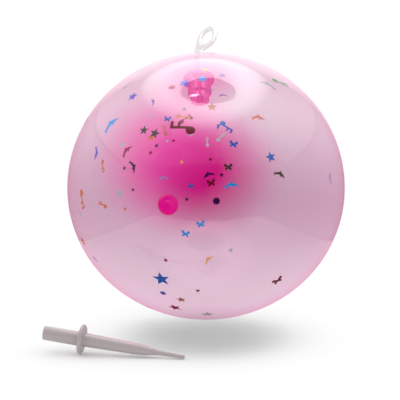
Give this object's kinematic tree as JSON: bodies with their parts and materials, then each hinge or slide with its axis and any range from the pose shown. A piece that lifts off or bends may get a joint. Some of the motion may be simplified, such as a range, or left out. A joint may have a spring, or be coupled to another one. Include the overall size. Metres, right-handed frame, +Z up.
{
  "type": "inflatable beach ball",
  "caption": "Clear pink inflatable ball resting on a small flat, with a ring-ended stopper in its neck, foil shapes clinging inside it, and a blowing straw lying beside it.",
  "frame": {"origin": "middle of the small flat that the ball rests on", "axes": "+Z up, -Y the ball's front, +X its right-hand side; the straw lies in front and to the left"},
  "size_m": [0.188, 0.2046, 0.1825],
  "materials": {
    "pink_skin": "glossy clear stretch rubber, tinted pink, deeper where the wall is thicker",
    "deep_pink_rubber": "glossy translucent stretch rubber, thick and so deep pink",
    "clear_rubber": "glossy clear stretch rubber with a faint pink cast",
    "straw_plastic": "smooth moulded plastic, pale grey with a faint mauve cast",
    "foil_blue": "metallised plastic foil, blue",
    "foil_sky": "metallised plastic foil, sky",
    "foil_navy": "metallised plastic foil, navy",
    "foil_cyan": "metallised plastic foil, cyan",
    "foil_violet": "metallised plastic foil, violet",
    "foil_mauve": "metallised plastic foil, mauve",
    "foil_silver": "metallised plastic foil, silver",
    "foil_gold": "metallised plastic foil, gold",
    "foil_orange": "metallised plastic foil, orange",
    "foil_copper": "metallised plastic foil, copper",
    "foil_crimson": "metallised plastic foil, crimson",
    "foil_ruby": "metallised plastic foil, ruby",
    "foil_green": "metallised plastic foil, green",
    "foil_moss": "metallised plastic foil, moss"
  },
  "bodies": {
    "ball": {"ball_skin": "pink_skin", "neck_bush": "deep_pink_rubber", "closing_patch": "deep_pink_rubber", "star_01": "foil_gold", "star_02": "foil_sky", "star_03": "foil_violet", "star_04": "foil_violet", "star_05": "foil_moss", "star_06": "foil_moss", "star_07": "foil_blue", "star_08": "foil_silver", "star_09": "foil_crimson", "star_10": "foil_crimson", "star_11": "foil_blue", "star_12": "foil_copper", "star_13": "foil_crimson", "star_14": "foil_silver", "star_15": "foil_crimson", "star_16": "foil_silver", "star_17": "foil_copper", "star_18": "foil_moss", "star_19": "foil_navy", "star_20": "foil_silver", "star_21": "foil_moss", "star_22": "foil_moss", "star_23": "foil_navy", "burst_01": "foil_crimson", "burst_02": "foil_navy", "burst_03": "foil_orange", "burst_04": "foil_violet", "burst_05": "foil_mauve", "burst_06": "foil_orange", "dolphin_01": "foil_cyan", "dolphin_02": "foil_crimson", "dolphin_03": "foil_violet", "dolphin_04": "foil_navy", "dolphin_05": "foil_copper", "dolphin_06": "foil_moss", "dolphin_07": "foil_cyan", "dolphin_08": "foil_gold", "dolphin_09": "foil_navy", "dolphin_10": "foil_mauve", "dolphin_11": "foil_blue", "dolphin_12": "foil_silver", "note_01": "foil_ruby", "note_02": "foil_blue", "note_03": "foil_green", "note_04": "foil_orange", "note_05": "foil_orange", "note_06": "foil_copper", "note_07": "foil_crimson", "note_08": "foil_silver", "butterfly_01": "foil_ruby", "butterfly_02": "foil_ruby", "butterfly_03": "foil_moss", "butterfly_04": "foil_blue", "butterfly_05": "foil_cyan", "butterfly_06": "foil_cyan"},
    "stopper": {"ring_stopper": "clear_rubber"},
    "straw": {"blowing_straw": "straw_plastic"}
  },
  "joints": [
    {"name": "stopper_pull", "type": "slide", "parent": "ball", "child": "stopper", "axis": [-0.0555, 0.6342, 0.7712], "range_m": [0, 0.03]},
    {"name": "straw_lift", "type": "slide", "parent": "ball", "child": "straw", "axis": [0, 0, 1], "range_m": [0, 0.12]}
  ]
}
